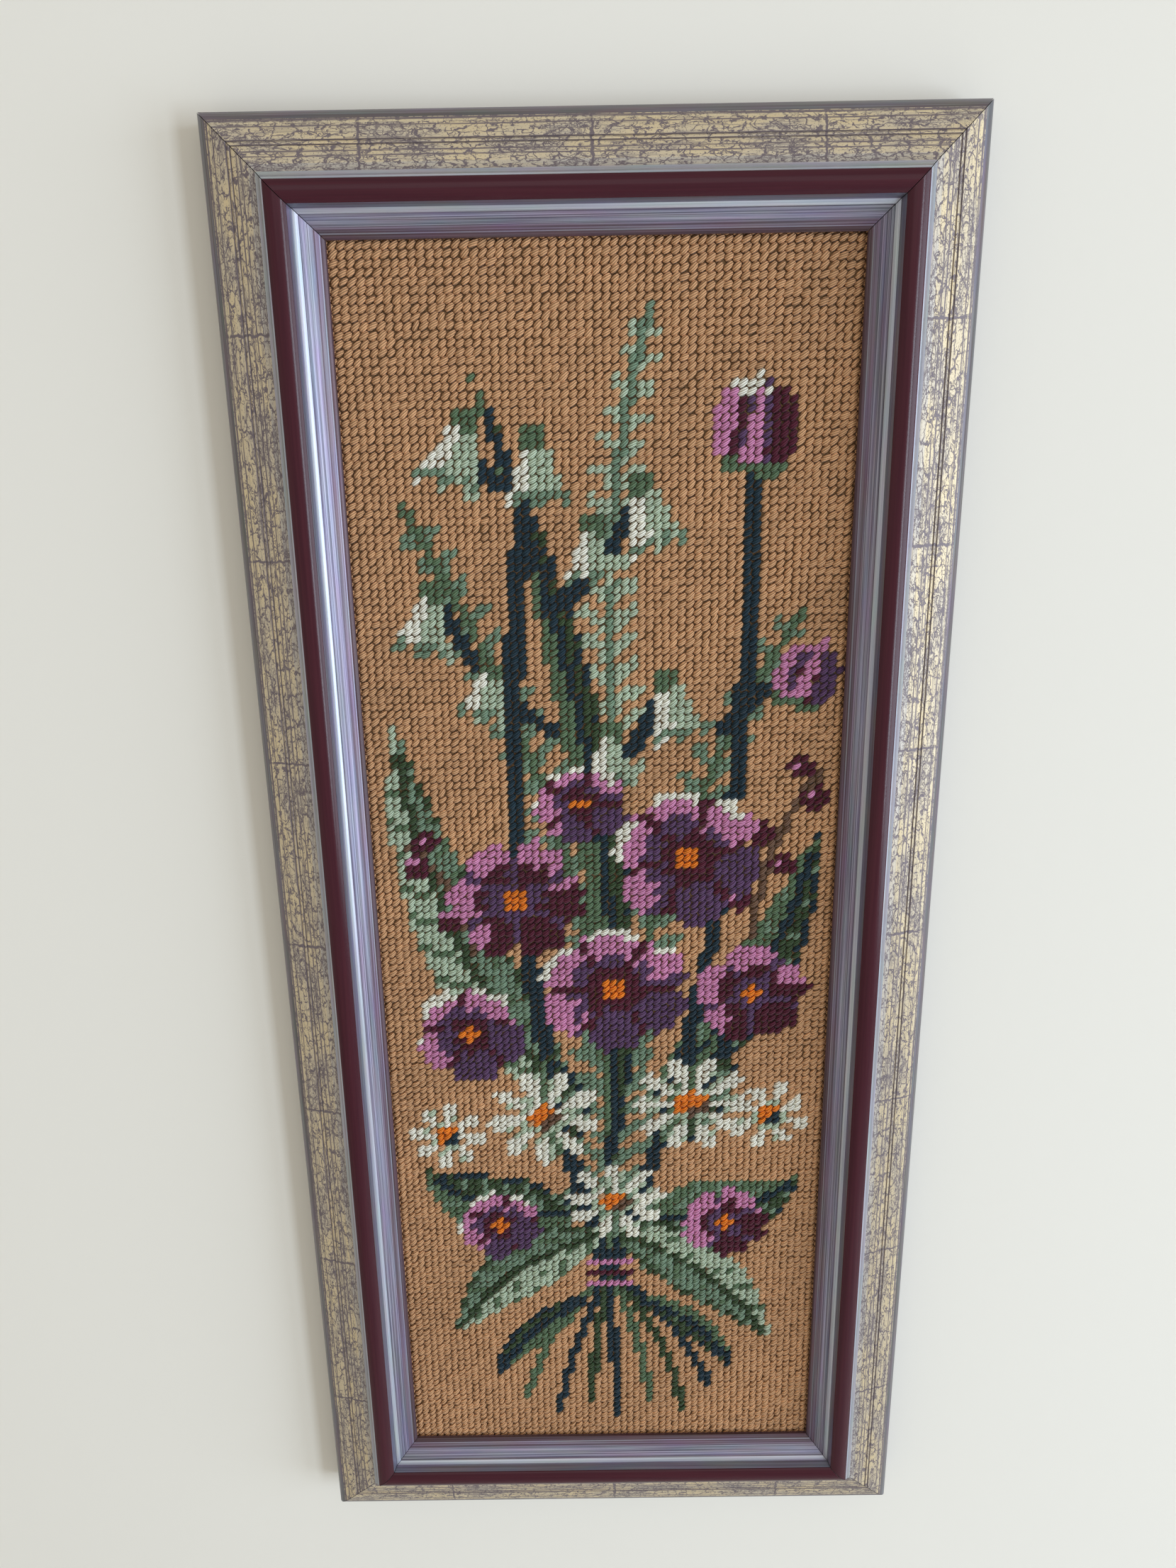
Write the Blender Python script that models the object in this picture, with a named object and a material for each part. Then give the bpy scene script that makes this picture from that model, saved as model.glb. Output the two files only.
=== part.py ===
"""A stitched canvas-work picture in a mitred wooden frame, as it hangs flat on a wall.

Four lengths of one moulding are sawn at 45 degrees and closed round the opening. The stitched sheet lies
behind the moulding's lip, and a plain board lies behind the sheet. X runs to the right, Z up and -Y out of
the wall. The origin is on the back of the top rail, at its middle, where the frame meets the wall.
"""
import math

import bmesh
import bpy
from mathutils import Matrix, Vector

MM = 0.001

# What shows of the stitching between the four lips
SIGHT_WIDTH = 158 * MM
SIGHT_HEIGHT = 446 * MM

# The moulding: its lip reaches over the sheet by the width of the rebate
REBATE_WIDTH = 7.0 * MM
LIP_THICKNESS = 2.4 * MM
SIGHT_LEVEL = 13.5 * MM
MOULDING_WIDTH = 33.9 * MM
BACK_TAPER = 0.5 * MM

# The fits
SEAT_GAP = 0.3 * MM
SHEET_THICKNESS = 2.6 * MM
BOARD_THICKNESS = 3.0 * MM

LIP_UNDERSIDE = SIGHT_LEVEL - LIP_THICKNESS
BACK_FACE_MIDDLE = (REBATE_WIDTH + MOULDING_WIDTH - BACK_TAPER) / 2
CENTRE_Z = -(SIGHT_HEIGHT / 2 + BACK_FACE_MIDDLE)

# The moulding's face from its outer edge in to the sight edge, in millimetres. Across is measured from the
# sight edge outwards, rise from the sight edge's level forwards, and swell is how far the stretch to the
# next row stands proud of a straight line, or sinks below it.
FACE_ROWS = (
    # stretch,              across, rise,  swell, steps
    ("outer edge",          33.90, -1.40,  0.35, 4),
    ("leafed slope",        31.40,  1.20,  0.20, 3),
    ("first groove",        25.75,  3.05,  0.00, 1),
    ("groove floor",        25.50,  2.80,  0.00, 1),
    ("narrow fillet",       25.25,  3.10,  0.10, 2),
    ("second groove",       24.55,  3.35,  0.00, 1),
    ("groove floor",        24.30,  3.10,  0.00, 1),
    ("inner slope",         24.05,  3.50,  0.15, 3),
    ("cove",                19.40,  4.70, -0.55, 5),
    ("ridge quirk",         15.90,  7.60,  0.00, 1),
    ("ridge",               15.60,  8.10,  1.15, 10),
    ("ridge shoulder",       8.80,  9.10,  0.25, 3),
    ("step foot",            7.90,  5.70,  0.00, 1),
    ("bright fillet",        7.70,  5.50,  0.15, 3),
    ("fillet edge",          6.35,  4.75,  0.00, 1),
    ("step down",            6.20,  4.20,  0.00, 1),
    ("first reed",           5.95,  4.10,  0.12, 3),
    ("first reed foot",      4.65,  3.10,  0.12, 3),
    ("second reed foot",     3.25,  2.15,  0.00, 1),
    ("low reed",             3.05,  1.90,  0.12, 3),
    ("low reed foot",        1.50,  0.95,  0.00, 1),
    ("sight bead",           1.30,  0.80,  0.18, 3),
    ("sight edge",           0.00,  0.00,  0.00, 0),
)

SHARPEST_SMOOTH_EDGE = math.radians(25)

RAIL_FINISH = ("painted and leafed wood", (0.42, 0.36, 0.30, 1.0), 0.45, 0.2)
WOOL_FINISH = ("tapestry wool", (0.45, 0.25, 0.12, 1.0), 0.95, 0.0)
BOARD_FINISH = ("backing board", (0.32, 0.20, 0.11, 1.0), 0.85, 0.0)


def clear_scene():
    for item in list(bpy.data.objects):
        bpy.data.objects.remove(item, do_unlink=True)


def finish(name, colour, roughness, metallic):
    material = bpy.data.materials.get(name) or bpy.data.materials.new(name)
    material.use_nodes = True
    shader = material.node_tree.nodes["Principled BSDF"]
    shader.inputs["Base Color"].default_value = colour
    shader.inputs["Roughness"].default_value = roughness
    shader.inputs["Metallic"].default_value = metallic
    return material


def swelled(start, end, swell, steps):
    """Points from start up to, not including, end, on an arc whose middle stands swell off the chord."""
    chord = end - start
    side = Vector((chord.y, -chord.x)).normalized() if chord.length else Vector((0, 0))
    if not swell:
        return [start.lerp(end, i / steps) for i in range(steps)]
    half = chord.length / 2
    radius = (half * half + swell * swell) / (2 * abs(swell))
    middle = start.lerp(end, 0.5) + side * (swell - math.copysign(radius, swell))
    spoke, last_spoke = start - middle, end - middle
    turn = math.atan2(spoke.x * last_spoke.y - spoke.y * last_spoke.x, spoke.dot(last_spoke))
    return [middle + Matrix.Rotation(turn * i / steps, 2) @ spoke for i in range(steps)]


def moulding_section():
    """The closed section of the moulding, as points of (across from the sight edge, height off the wall)."""
    points = [Vector((MOULDING_WIDTH - BACK_TAPER, 0))]
    rows = [(Vector((across, rise)) * MM, swell * MM, steps) for _, across, rise, swell, steps in FACE_ROWS]
    level = Vector((0, SIGHT_LEVEL))
    for (start, swell, steps), (end, _, _) in zip(rows, rows[1:]):
        points += [level + point for point in swelled(start, end, swell, steps)]
    points += [level, Vector((0, LIP_UNDERSIDE))]
    points += [Vector((REBATE_WIDTH, LIP_UNDERSIDE)), Vector((REBATE_WIDTH, 0))]
    return points


def saw(mesh, point, normal):
    """Cuts the mesh off beyond a plane and closes the cut end."""
    everything = mesh.verts[:] + mesh.edges[:] + mesh.faces[:]
    cut = bmesh.ops.bisect_plane(
        mesh, geom=everything, plane_co=point, plane_no=normal, clear_outer=True)
    rim = [item for item in cut["geom_cut"] if isinstance(item, bmesh.types.BMEdge)]
    bmesh.ops.contextual_create(mesh, geom=rim)


def rail(name, sight_length, sight_half, quarter_turns):
    """One length of moulding, sawn at both ends and turned to its side of the opening."""
    mesh = bmesh.new()
    reach = sight_length / 2 + MOULDING_WIDTH + REBATE_WIDTH
    ring = [mesh.verts.new((-reach, -height, sight_half + across)) for across, height in moulding_section()]
    end = mesh.faces.new(ring)
    pushed = bmesh.ops.extrude_face_region(mesh, geom=[end])
    far_end = [item for item in pushed["geom"] if isinstance(item, bmesh.types.BMVert)]
    bmesh.ops.translate(mesh, verts=far_end, vec=(2 * reach, 0, 0))
    for side in (-1, 1):
        mitre = Vector((side, 0, -1)).normalized()
        corner = Vector((side * sight_length / 2, 0, sight_half))
        saw(mesh, corner - mitre * SEAT_GAP / 2, mitre)
    bmesh.ops.recalc_face_normals(mesh, faces=mesh.faces)
    turn = Matrix.Rotation(-quarter_turns * math.pi / 2, 4, "Y")
    bmesh.ops.transform(mesh, matrix=turn, verts=mesh.verts)
    item = place(name, mesh, Vector((0, 0, CENTRE_Z)), RAIL_FINISH)
    item.data.shade_smooth()
    item.data.set_sharp_from_angle(angle=SHARPEST_SMOOTH_EDGE)
    return item


def flat_sheet(name, thickness, front_height, material):
    """A flat rectangle that fills the rebate, with its front face at a height off the wall."""
    mesh = bmesh.new()
    bmesh.ops.create_cube(mesh, size=1.0)
    margin = 2 * (REBATE_WIDTH - SEAT_GAP)
    size = (SIGHT_WIDTH + margin, thickness, SIGHT_HEIGHT + margin)
    bmesh.ops.scale(mesh, vec=size, verts=mesh.verts)
    return place(name, mesh, Vector((0, thickness / 2 - front_height, CENTRE_Z)), material)


def place(name, mesh, location, material):
    data = bpy.data.meshes.new(name)
    mesh.to_mesh(data)
    mesh.free()
    data.materials.append(finish(*material))
    item = bpy.data.objects.new(name, data)
    item.location = location
    bpy.context.scene.collection.objects.link(item)
    return item


def build():
    clear_scene()
    rail("rail_top", SIGHT_WIDTH, SIGHT_HEIGHT / 2, 0)
    rail("rail_right", SIGHT_HEIGHT, SIGHT_WIDTH / 2, -1)
    rail("rail_bottom", SIGHT_WIDTH, SIGHT_HEIGHT / 2, 2)
    rail("rail_left", SIGHT_HEIGHT, SIGHT_WIDTH / 2, 1)
    sheet_front = LIP_UNDERSIDE - SEAT_GAP
    flat_sheet("stitched_sheet", SHEET_THICKNESS, sheet_front, WOOL_FINISH)
    board_front = sheet_front - SHEET_THICKNESS - SEAT_GAP
    flat_sheet("backing_board", BOARD_THICKNESS, board_front, BOARD_FINISH)


build()
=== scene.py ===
"""A wool canvas-work picture in its moulded frame, as a Blender add-on that is run as a script.

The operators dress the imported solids: four lengths of distressed moulding, the canvas, one plump grain of
yarn for every tent stitch, the backing board and the stage. Sizes are in metres. X runs to the right, Z up
and -Y out of the wall.
"""
import math
from functools import partial

import bmesh
import bpy
import numpy as np
from mathutils import Euler, Matrix, Vector


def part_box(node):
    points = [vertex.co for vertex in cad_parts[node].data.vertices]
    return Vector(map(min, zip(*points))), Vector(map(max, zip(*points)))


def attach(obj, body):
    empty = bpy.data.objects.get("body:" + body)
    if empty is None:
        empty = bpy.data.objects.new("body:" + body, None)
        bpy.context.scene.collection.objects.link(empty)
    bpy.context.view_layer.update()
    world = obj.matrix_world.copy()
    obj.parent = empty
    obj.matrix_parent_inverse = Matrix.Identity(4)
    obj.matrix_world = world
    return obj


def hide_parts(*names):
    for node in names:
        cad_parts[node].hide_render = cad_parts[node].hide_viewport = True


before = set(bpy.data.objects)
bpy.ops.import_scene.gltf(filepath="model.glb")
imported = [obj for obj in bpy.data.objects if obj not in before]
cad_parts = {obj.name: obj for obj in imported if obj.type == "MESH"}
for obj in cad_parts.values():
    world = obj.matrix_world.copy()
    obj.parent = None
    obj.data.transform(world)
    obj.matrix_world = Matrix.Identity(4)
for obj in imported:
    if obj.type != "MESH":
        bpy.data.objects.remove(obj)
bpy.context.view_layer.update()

bl_info = {
    "name": "Framed Canvas Work",
    "version": (1, 0, 0),
    "blender": (4, 5, 0),
    "location": "3D View > Sidebar > Canvas Work",
    "description": "Builds a stitched wool picture in a distressed moulded frame",
    "category": "Object",
}

MM = 0.001
BODY = "root"

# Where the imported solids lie
SHEET_LOW, SHEET_HIGH = (Vector(corner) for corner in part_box("stitched_sheet"))
BOARD_LOW, BOARD_HIGH = (Vector(corner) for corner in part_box("backing_board"))
SIGHT_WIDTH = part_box("rail_right")[0][0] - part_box("rail_left")[1][0]
SIGHT_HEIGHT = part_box("rail_top")[0][2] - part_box("rail_bottom")[1][2]
SIGHT_CENTRE_Z = (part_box("rail_top")[0][2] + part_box("rail_bottom")[1][2]) / 2
SIGHT_LEVEL = 13.5 * MM
MOULDING_WIDTH = 33.9 * MM
BACK_TAPER = 0.5 * MM

# The moulding's face from its outer edge in to the sight edge, in millimetres. Across is measured from the
# sight edge outwards, rise from the sight edge's level forwards, and swell is how far the stretch to the
# next row stands proud of a straight line. The finish covers that stretch.
FACE_ROWS = (
    # finish,    across, rise,  swell, steps
    ("edge",     33.90, -1.40,  0.35, 7),
    ("leaf",     31.40,  1.20,  0.20, 5),
    ("leaf",     25.75,  3.05,  0.00, 1),
    ("leaf",     25.50,  2.80,  0.00, 1),
    ("leaf",     25.25,  3.10,  0.10, 4),
    ("leaf",     24.55,  3.35,  0.00, 1),
    ("leaf",     24.30,  3.10,  0.00, 1),
    ("leaf",     24.05,  3.50,  0.15, 5),
    ("cove",     19.40,  4.70, -0.14, 5),
    ("pewter",   17.30,  5.73, -0.14, 6),
    # The narrow strip of fillet paint at the ridge's foot is a painted highlight
    ("fillet",   15.62,  7.76,  0.05, 2),
    ("pewter",   15.15,  8.20,  0.00, 1),
    ("lacquer",  14.90,  8.95,  1.05, 22),
    ("lacquer",   8.80,  8.74,  0.10, 3),
    ("step",      8.66,  8.30,  0.10, 4),
    ("step",      7.90,  5.70,  0.00, 1),
    ("fillet",    7.70,  5.50,  0.15, 5),
    ("reed",      6.35,  4.75,  0.00, 1),
    ("reed",      6.20,  4.20,  0.00, 1),
    ("reed",      5.95,  4.10,  0.12, 5),
    ("reed",      4.65,  3.10,  0.12, 5),
    ("reed",      3.25,  2.15,  0.00, 1),
    ("low_reed",  3.05,  1.90,  0.12, 5),
    # The glint row is paler paint: a painted highlight beside the bead
    ("glint",     1.62,  1.02,  0.00, 1),
    ("bead",      1.30,  0.80,  0.18, 5),
    ("bead",      0.00,  0.00,  0.00, 0),
)


def linear(hex_colour):
    """The linear RGB of an sRGB hex colour."""
    parts = [int(hex_colour[i:i + 2], 16) / 255 for i in (0, 2, 4)]
    return tuple(p / 12.92 if p <= 0.04045 else ((p + 0.055) / 1.055) ** 2.4 for p in parts)


def size(name, description, default):
    """A length that the user may change, in metres."""
    return bpy.props.FloatProperty(
        name=name, description=description, default=default, unit="LENGTH", precision=5)


def colour(name, description, hex_colour):
    """A colour that the user may change, given as sRGB hex."""
    return bpy.props.FloatVectorProperty(
        name=name, description=description, default=linear(hex_colour), size=3, subtype="COLOR",
        min=0.0, max=1.0)


def angle_of(name, description, degrees):
    """An angle that the user may change, given in degrees."""
    return bpy.props.FloatProperty(
        name=name, description=description, default=math.radians(degrees), subtype="ANGLE")


def how_many(name, description, default, least=0):
    """A whole number that the user may change."""
    return bpy.props.IntProperty(name=name, description=description, default=default, min=least)


class MouldingSettings(bpy.types.PropertyGroup):
    """Sizes and finishes of the four lengths of moulding."""

    rebate_width: size("Rebate", "How far the lip reaches over the canvas", 7.0 * MM)
    lip_thickness: size("Lip", "Thickness of the lip over the canvas", 1.1 * MM)
    mitre_gap: size("Mitre gap", "Open joint between two lengths at a corner", 0.20 * MM)
    leaf_spacing: size("Leaf spacing", "Distance between two joints in the metal leaf", 66 * MM)
    leaf: colour("Leaf", "Champagne metal leaf under matt varnish", "d8c398")
    bole: colour("Bole", "Grey-purple ground that shows where the leaf is rubbed through", "776c70")
    edge: colour("Edge", "Grey-purple paint on the outer edge and side", "665e62")
    pewter: colour("Pewter", "Smooth band inside the cove", "9d9ca8")
    lacquer: colour("Lacquer", "Burgundy lacquer on the ridge", "3d1120")
    step: colour("Step", "Slate grey on the step below the ridge", "6c6a7a")
    fillet: colour("Fillet", "Bright silver line", "a6aab9")
    reed: colour("Reeds", "Brushed violet-grey reeds", "5e5a6d")
    low_reed: colour("Low reed", "Dark violet-maroon reed beside the bead", "5a4855")
    # The glint colour is a painted highlight beside the bead
    glint: colour("Glint", "Pale line beside the bead", "7d7886")
    bead: colour("Bead", "Dark maroon bead at the sight edge", "432c33")
    wood: colour("Wood", "Bare softwood on the back of the moulding", "c29a68")


class StitchSettings(bpy.types.PropertyGroup):
    """The count, yarn and hand of the tent stitches."""

    columns: how_many("Columns", "Stitches across the opening", 61, 1)
    rows: how_many("Rows", "Stitches down the opening", 179, 1)
    margin: how_many("Margin", "Stitches that run on under the lip at each side", 1)
    canvas_thickness: size("Canvas", "Thickness of the woven canvas and the wool behind it", 2.1 * MM)
    swell: size("Swell", "How far the stitches stand forwards of the sheet's flat front", 1.2 * MM)
    yarn_length: size("Yarn length", "Length of one stitch along its slant", 3.75 * MM)
    yarn_width: size("Yarn width", "Width of one stitch across its slant", 1.98 * MM)
    yarn_height: size("Yarn height", "Thickness of one stitch off the canvas", 1.9 * MM)
    slant: angle_of("Slant", "Angle of a stitch above the horizontal", 43.5)
    unevenness: bpy.props.FloatProperty(
        name="Unevenness", description="How much one stitch differs from the next", default=0.10,
        subtype="FACTOR", min=0.0, max=0.3)
    fibres: how_many("Stray fibres", "Loose hairs that stand off the wool", 220)
    seed: how_many("Seed", "Picks the hand's irregularities", 7)
    canvas: colour("Canvas", "Ecru canvas that shows in the pits between stitches", "8a6a48")


class BoardSettings(bpy.types.PropertyGroup):
    """The board behind the canvas."""

    edge_round: size("Edge round", "Rounding of the sawn edges", 0.35 * MM)
    hardboard: colour("Hardboard", "Plain brown hardboard", "8a6242")


class StageSettings(bpy.types.PropertyGroup):
    """The camera's place, the lights and the pale room."""

    camera_distance: size("Camera distance", "How far the camera stands off the sight level", 377.2 * MM)
    camera_rise: size("Camera rise", "How far the camera is above the opening's middle", 177.3 * MM)
    camera_side: size("Camera side", "How far the camera is to the right of the middle", -3.35 * MM)
    camera_pitch: angle_of("Pitch", "How far the camera looks down", 17.9)
    camera_yaw: angle_of("Yaw", "How far the camera turns left", 0.27)
    camera_roll: angle_of("Roll", "How far the camera leans", -0.95)
    focal_length: bpy.props.FloatProperty(
        name="Focal length", description="In millimetres, on a 36 mm sensor", default=27.23)
    wall: colour("Wall", "Pale painted wall", "eae7df")
    floor: colour("Floor", "Pale floor", "cbc8c2")


def feed(node, inputs):
    """Feeds a node's inputs from values, sockets or other nodes, which give their first output in use."""
    for key, value in inputs.items():
        socket = node.inputs[key]
        if isinstance(value, bpy.types.Node):
            value = next(output for output in value.outputs if output.enabled)
        if isinstance(value, bpy.types.NodeSocket):
            node.id_data.links.new(value, socket)
        elif socket.type == "RGBA":
            socket.default_value = (*value, 1.0)
        else:
            socket.default_value = value


def add_node(tree, kind, inputs=None, **settings):
    """Adds one shader node with its settings, and feeds its inputs."""
    node = tree.nodes.new("ShaderNode" + kind)
    node.location = (190 * (len(tree.nodes) % 12), -260 * (len(tree.nodes) // 12))
    for name, value in settings.items():
        setattr(node, name, value)
    feed(node, inputs or {})
    return node


def new_material(name):
    """An empty node material, the call that adds a node to it, and its shader."""
    material = bpy.data.materials.new(name)
    material.use_nodes = True
    tree = material.node_tree
    return material, partial(add_node, tree), tree.nodes["Principled BSDF"]


def as_data(name, mesh, materials):
    """A bmesh as mesh data with its materials."""
    data = bpy.data.meshes.new(name)
    mesh.to_mesh(data)
    mesh.free()
    for material in materials:
        data.materials.append(material)
    return data


def slab(extent, middle, edge_round, segments):
    """A rectangular slab with rounded edges, as a bmesh."""
    mesh = bmesh.new()
    bmesh.ops.create_cube(mesh, size=1.0)
    bmesh.ops.scale(mesh, vec=extent, verts=mesh.verts)
    bmesh.ops.bevel(mesh, geom=mesh.edges[:], offset=edge_round, segments=segments, affect="EDGES",
                    profile=0.5, material=-1)
    bmesh.ops.translate(mesh, verts=mesh.verts, vec=middle)
    return mesh


def place_piece(name, data, nodes=()):
    """Makes mesh data a piece that rides on the one body, and hides the imported solids that it stands for.
    """
    piece = bpy.data.objects.new(name, data)
    bpy.context.scene.collection.objects.link(piece)
    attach(piece, BODY)
    if nodes:
        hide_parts(*nodes)
    return piece


# Moulding

MOULDING_MAP = "Moulding"
SHARPEST_SMOOTH_EDGE = math.radians(24)

# Distance across the face and width of each line scored along the leaf, in millimetres
SCORED_LINES = ((31.00, 0.60), (29.30, 0.36), (25.62, 0.46), (24.42, 0.40), (22.60, 0.42), (21.30, 0.36))

# Distance across the face of the arris that is rubbed bright and carries a painted highlight, in millimetres
ARRIS = 30.30

# The paints that are wiped along the moulding, each with the colour of its streaks
BRUSHED_PAINTS = (
    # finish,    paint,                       streaks, roughness, metallic, streak's width in millimetres
    ("edge",     "grey-purple edge paint",    "7d7a80", 0.38, 0.45, 0.6),
    ("pewter",   "smooth pewter paint",       "b0b2bb", 0.30, 0.55, 0.6),
    ("step",     "slate grey step",           "858597", 0.36, 0.40, 0.5),
    ("fillet",   "bright silver fillet",      "c8ccd7", 0.36, 0.50, 0.4),
    ("reed",     "brushed violet-grey reeds", "a9a6bb", 0.38, 0.42, 0.36),
    ("low_reed", "dark violet reed",          "85798c", 0.36, 0.40, 0.5),
    # The glint paint is a painted highlight beside the bead
    ("glint",    "pale line beside the bead", "9792a2", 0.36, 0.40, 0.4),
    ("bead",     "maroon bead",               "64505a", 0.38, 0.25, 0.5),
)


def along_and_across(add, per_along, per_across, turn=0.0):
    """The moulding's own coordinates, in repeats: one every so many millimetres along and across."""
    uv = add("UVMap", uv_map=MOULDING_MAP)
    return add("Mapping", {
        "Vector": uv, "Rotation": (0, 0, turn),
        "Scale": (1 / (per_along * MM), 1 / (per_across * MM), 1)})


def crack_lines(add, wander, along, across, width, turn, share):
    """Broken dark lines round cells of a size in millimetres, which wander and show where share is high."""
    bent = add("VectorMath", {
        0: wander.outputs["Color"], 1: (0.55, 0.55, 0), 2: along_and_across(add, along, across, turn)},
        operation="MULTIPLY_ADD")
    cells = add("TexVoronoi", {
        "Vector": bent, "Scale": 1.0, "Randomness": 1.0}, voronoi_dimensions="2D",
        feature="DISTANCE_TO_EDGE")
    half = width / 2 / min(along, across)
    line = add("MapRange", {
        "Value": cells, "From Min": half * 1.7, "From Max": half * 0.6}, interpolation_type="SMOOTHSTEP")
    return add("Math", {0: line, 1: share}, operation="MULTIPLY")


def line_along(add, run, middle, outer, inner):
    """A soft line along the moulding: full to its inner half width off the middle, gone at its outer one."""
    off = add("Math", {0: run, 1: middle}, operation="SUBTRACT")
    distance = add("Math", {0: off}, operation="ABSOLUTE")
    return add("MapRange", {
        "Value": distance, "From Min": outer, "From Max": inner}, interpolation_type="SMOOTHSTEP")


def distressed_leaf(settings, name, silvered):
    """Metal leaf laid over grey-purple bole, scored along the moulding, crazed, rubbed and varnished matt.

    It reads as soft gold under a grey veil: a few dark lines run the whole length, cracks wander across
    every few millimetres, and crazed patches full of specks lie between sound ones.
    """
    material, add, shader = new_material(name)
    uv = add("UVMap", uv_map=MOULDING_MAP)
    ways = add("SeparateXYZ", {0: uv})
    # Clouds 22 mm long: the leaf is sound in some and crazed in others
    clouds = add("TexNoise", {
        "Vector": along_and_across(add, 22, 7), "Scale": 1.0, "Detail": 2.0, "Roughness": 0.55},
        noise_dimensions="2D")
    # Specks about 0.4 mm across, drawn coarser than the leaf's own pits so that they show
    specks = add("TexNoise", {
        "Vector": along_and_across(add, 0.62, 0.40), "Scale": 1.0, "Detail": 3.0,
        "Roughness": 0.65}, noise_dimensions="2D")
    # Rubbing marks half a millimetre wide and 20 mm long
    streaks = add("TexNoise", {
        "Vector": along_and_across(add, 20, 0.5), "Scale": 1.0, "Detail": 2.0, "Roughness": 0.55},
        noise_dimensions="2D")
    wander = add("TexNoise", {
        "Vector": along_and_across(add, 2.6, 1.6), "Scale": 1.0, "Detail": 2.0},
        noise_dimensions="2D")
    crazed = add("MapRange", {
        "Value": clouds, "From Min": 0.46, "From Max": 0.60, "To Max": 0.75},
        interpolation_type="SMOOTHSTEP")
    broken = add("MapRange", {"Value": wander, "From Min": 0.36, "From Max": 0.46})

    pitted = add("Math", {0: crazed, 1: 0.07, 2: specks}, operation="MULTIPLY_ADD")
    pits = add("MapRange", {
        "Value": pitted, "From Min": 0.62, "From Max": 0.68}, interpolation_type="SMOOTHSTEP")
    rubbed = add("MapRange", {
        "Value": streaks, "From Min": 0.60, "From Max": 0.68, "To Max": 0.5},
        interpolation_type="SMOOTHSTEP")
    marks = [pits, rubbed]
    # Cells: length along the moulding, width across it, width of the crack round them, and their turn
    for along, across, width, turn, share in (
            (5.0, 1.2, 0.17, 0.0, crazed), (9.0, 2.3, 0.20, 0.0, broken), (7.0, 4.5, 0.26, 0.0, broken),
            (9.0, 45.0, 0.30, 0.0, broken), (16.0, 8.0, 0.22, 0.7, broken)):
        marks.append(crack_lines(add, wander, along, across, width, turn, share))

    # Lines scored along the moulding, each at its own distance across the face, stray by half a millimetre
    stray = 0.5 * MM
    strayed = add("Math", {0: clouds, 1: stray, 2: ways.outputs["Y"]}, operation="MULTIPLY_ADD")
    faded = add("MapRange", {"Value": streaks, "From Min": 0.30, "From Max": 0.50, "To Min": 0.62})
    for across, width in SCORED_LINES:
        middle = run_at(settings, across) + stray / 2
        line = line_along(add, strayed, middle, width * MM * 0.75, width * MM * 0.3)
        marks.append(add("Math", {0: line, 1: faded}, operation="MULTIPLY"))

    # Joints in the leaf: a ragged dark line across the moulding at every sheet
    sheet_place = add("Math", {0: wander, 1: 1.8 * MM, 2: ways.outputs["X"]}, operation="MULTIPLY_ADD")
    to_joint = add("Math", {0: sheet_place, 1: settings.leaf_spacing / 2}, operation="PINGPONG")
    marks.append(add("MapRange", {
        "Value": to_joint, "From Min": 0.60 * MM, "From Max": 0.28 * MM}, interpolation_type="SMOOTHSTEP"))
    worn = marks[0]
    for mark in marks[1:]:
        worn = add("Math", {0: worn, 1: mark}, operation="MAXIMUM", use_clamp=True)

    # The leaf's tone drifts from warm to grey, and greys in soft bands along the length
    veil = add("MapRange", {
        "Value": clouds, "From Min": 0.35, "From Max": 0.65, "To Min": silvered, "To Max": 0.42 + silvered})
    veiled = add("Math", {0: streaks, 1: 0.45, 2: veil}, operation="MULTIPLY_ADD", use_clamp=True)
    tone = add("Mix", {0: veiled, 6: settings.leaf, 7: linear("b8b1a8")}, data_type="RGBA")
    bole = add("Mix", {0: clouds, 6: settings.bole, 7: linear("665b61")}, data_type="RGBA")
    face = add("Mix", {0: worn, 6: tone, 7: bole}, data_type="RGBA")
    # The outer arris is rubbed bright and carries a painted highlight: a dotted line of pale gold
    arris = line_along(add, ways.outputs["Y"], run_at(settings, ARRIS), 0.34 * MM, 0.16 * MM)
    dotted = add("MapRange", {
        "Value": specks, "From Min": 0.40, "From Max": 0.52, "To Min": 0.05, "To Max": 0.50})
    glint = add("Math", {0: arris, 1: dotted}, operation="MULTIPLY")
    arris_worn_and_highlighted = add("Mix", {0: glint, 6: face, 7: linear("e6d6ae")}, data_type="RGBA")
    gloss = add("MapRange", {"Value": worn, "To Min": 0.40, "To Max": 0.46})
    metal = add("MapRange", {"Value": worn, "To Min": 0.26, "To Max": 0.22})
    relief = add("Bump", {"Height": worn, "Distance": 0.06 * MM, "Strength": 0.6}, invert=True)
    feed(shader, {"Base Color": arris_worn_and_highlighted, "Roughness": gloss, "Metallic": metal, "Normal": relief})
    return material


def brushed_paint(name, paint, streaks, roughness, metallic, streak_width):
    """Metallic paint wiped along the moulding: even in colour, with fine lighter and darker lines."""
    material, add, shader = new_material(name)
    wiped = add("TexNoise", {
        "Vector": along_and_across(add, 120, streak_width), "Scale": 1.0, "Detail": 3.0,
        "Roughness": 0.6}, noise_dimensions="2D")
    cloud = add("TexNoise", {
        "Vector": along_and_across(add, 22, 2.5), "Scale": 1.0, "Detail": 2.0},
        noise_dimensions="2D")
    share = add("MapRange", {"Value": wiped, "From Min": 0.36, "From Max": 0.66})
    streaked = add("Mix", {0: share, 6: paint, 7: streaks}, data_type="RGBA")
    dulled = add("Mix", {
        0: 0.25, 6: streaked, 7: cloud.outputs["Color"]}, data_type="RGBA", blend_type="SOFT_LIGHT")
    gloss = add("MapRange", {"Value": wiped, "To Min": roughness - 0.08, "To Max": roughness + 0.12})
    relief = add("Bump", {"Height": wiped, "Distance": 0.03 * MM, "Strength": 0.5})
    feed(shader, {"Base Color": dulled, "Roughness": gloss, "Normal": relief, "Metallic": metallic})
    return material


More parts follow.
